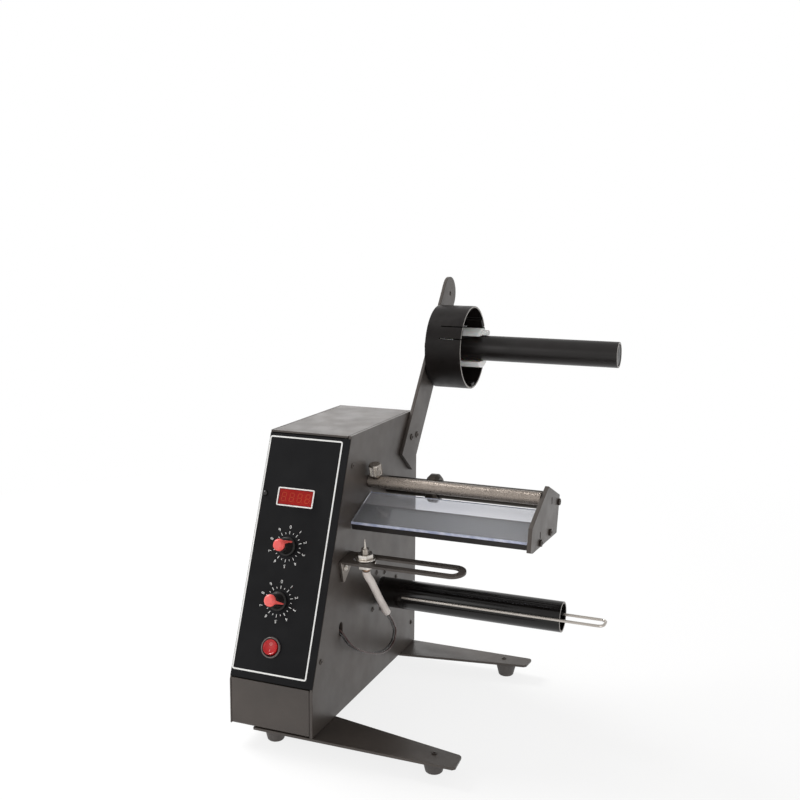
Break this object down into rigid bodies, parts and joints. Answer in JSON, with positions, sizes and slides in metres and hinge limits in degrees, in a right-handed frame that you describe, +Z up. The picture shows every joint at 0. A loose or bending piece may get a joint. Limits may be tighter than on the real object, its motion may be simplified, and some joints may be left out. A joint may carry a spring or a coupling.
{
  "type": "label dispenser machine",
  "caption": "Benchtop label dispenser with leaning control panel, roll arm, clear peel table, slotted label sensor bracket and driven take-up tube.",
  "frame": {"origin": "middle of the bounding box in plan, at the floor under the rubber feet", "axes": "+X along the rollers, away from the housing; +Y from the control panel to the rear; +Z up"},
  "size_m": [0.2599, 0.2986, 0.3415],
  "materials": {
    "body_paint": "satin brown-grey powder coat",
    "panel_print": "printed matt film",
    "black_paint": "satin black paint",
    "frame_white": "moulded, smooth",
    "window_red": "dark red, clear",
    "circuit_green": "solder resist",
    "component_grey": "plain",
    "knob_black": "moulded, smooth",
    "signal_red": "moulded, smooth",
    "switch_ring": "grey, bright",
    "rocker_red": "clear red",
    "inlet_black": "moulded, fine grain",
    "drum_black": "moulded, smooth",
    "hub_white": "turned nylon",
    "tube_black": "satin anodised",
    "gloss_black": "gloss black",
    "steel": "plain turned steel",
    "dark_screw": "black oxide",
    "knurled_steel": "fine knurl",
    "guide_grey": "satin",
    "acrylic": "clear sheet with polished edges",
    "sleeve_white": "heat-shrink sleeve",
    "lead_black": "smooth jacket",
    "foot_rubber": "moulded"
  },
  "bodies": {
    "machine": {"arm_bolt_front": "dark_screw", "arm_bolt_rear": "dark_screw", "axle_nut": "steel", "control_board": "circuit_green", "counter_frame": "frame_white", "counter_window": "window_red", "display_board": "circuit_green", "end_plate": "body_paint", "end_screw_front": "dark_screw", "end_screw_lower": "dark_screw", "end_screw_rear": "dark_screw", "foot_front_left": "foot_rubber", "foot_front_right": "foot_rubber", "foot_rear_left": "foot_rubber", "foot_rear_right": "foot_rubber", "front_leg": "body_paint", "front_panel": "black_paint", "front_tie_bar": "black_paint", "gearbox": "component_grey", "housing_shell": "body_paint", "knurled_rod": "knurled_steel", "left_cover": "body_paint", "length_potentiometer": "component_grey", "lower_tie_bar": "black_paint", "motor": "component_grey", "panel_overlay": "panel_print", "peel_plate": "acrylic", "peel_support": "black_paint", "power_inlet": "inlet_black", "rear_guide_rod": "guide_grey", "rear_leg": "body_paint", "rod_stub": "steel", "roll_arm": "body_paint", "sensor_bracket": "body_paint", "sensor_lead": "lead_black", "side_plate": "body_paint", "speed_potentiometer": "component_grey", "supply_axle": "steel", "switch_body": "switch_ring", "transformer": "component_grey"},
    "supply": {"core_drum": "drum_black", "drum_hub": "hub_white", "supply_tube": "tube_black", "tube_cap": "knob_black"},
    "take_up": {"drive_shaft": "steel", "drive_hub": "knob_black", "take_up_tube": "gloss_black"},
    "clip": {"take_up_clip": "steel"},
    "length": {"length_knob": "knob_black", "length_knob_pointer": "signal_red"},
    "speed": {"speed_knob": "knob_black", "speed_knob_pointer": "signal_red"},
    "rocker": {"switch_rocker": "rocker_red"},
    "reset": {"reset_button": "knob_black"},
    "thumb": {"thumb_screw": "steel"},
    "collar": {"guide_collar": "guide_grey"},
    "sensor": {"sensor_barrel": "steel", "sensor_top_nut": "steel", "sensor_lower_nut": "steel", "sensor_sleeve": "sleeve_white"}
  },
  "joints": [
    {"name": "supply_spin", "type": "hinge", "parent": "machine", "child": "supply", "pos_m": [-0.04055, 0.09967, 0.28077], "axis": [1, 0, 0], "continuous": true},
    {"name": "take_up_spin", "type": "hinge", "parent": "machine", "child": "take_up", "pos_m": [-0.06055, -0.0253, 0.0886], "axis": [1, 0, 0], "continuous": true},
    {"name": "clip_slide", "type": "slide", "parent": "take_up", "child": "clip", "axis": [1, 0, 0], "range_m": [0, 0.15]},
    {"name": "length_turn", "type": "hinge", "parent": "machine", "child": "length", "pos_m": [-0.09925, -0.11732, 0.14797], "axis": [0, -0.9328, 0.3603], "range_deg": [-246, 54]},
    {"name": "speed_turn", "type": "hinge", "parent": "machine", "child": "speed", "pos_m": [-0.09925, -0.13224, 0.10935], "axis": [0, -0.9328, 0.3603], "range_deg": [-200, 100]},
    {"name": "rocker_tilt", "type": "hinge", "parent": "machine", "child": "rocker", "pos_m": [-0.09925, -0.13896, 0.07529], "axis": [1, 0, 0], "range_deg": [0, 14]},
    {"name": "reset_press", "type": "slide", "parent": "machine", "child": "reset", "axis": [0, 0.9328, -0.3603], "range_m": [0, 0.0008], "stiffness_N_per_m": 150, "springref_m": -0.002},
    {"name": "thumb_turn", "type": "hinge", "parent": "machine", "child": "thumb", "pos_m": [-0.05405, -0.0463, 0.1866], "axis": [0, -0.2588, 0.9659], "range_deg": [0, 720]},
    {"name": "collar_slide", "type": "slide", "parent": "machine", "child": "collar", "axis": [1, 0, 0], "range_m": [-0.034, 0.093]},
    {"name": "sensor_slide", "type": "slide", "parent": "machine", "child": "sensor", "axis": [1, 0, 0], "range_m": [0, 0.05]}
  ]
}
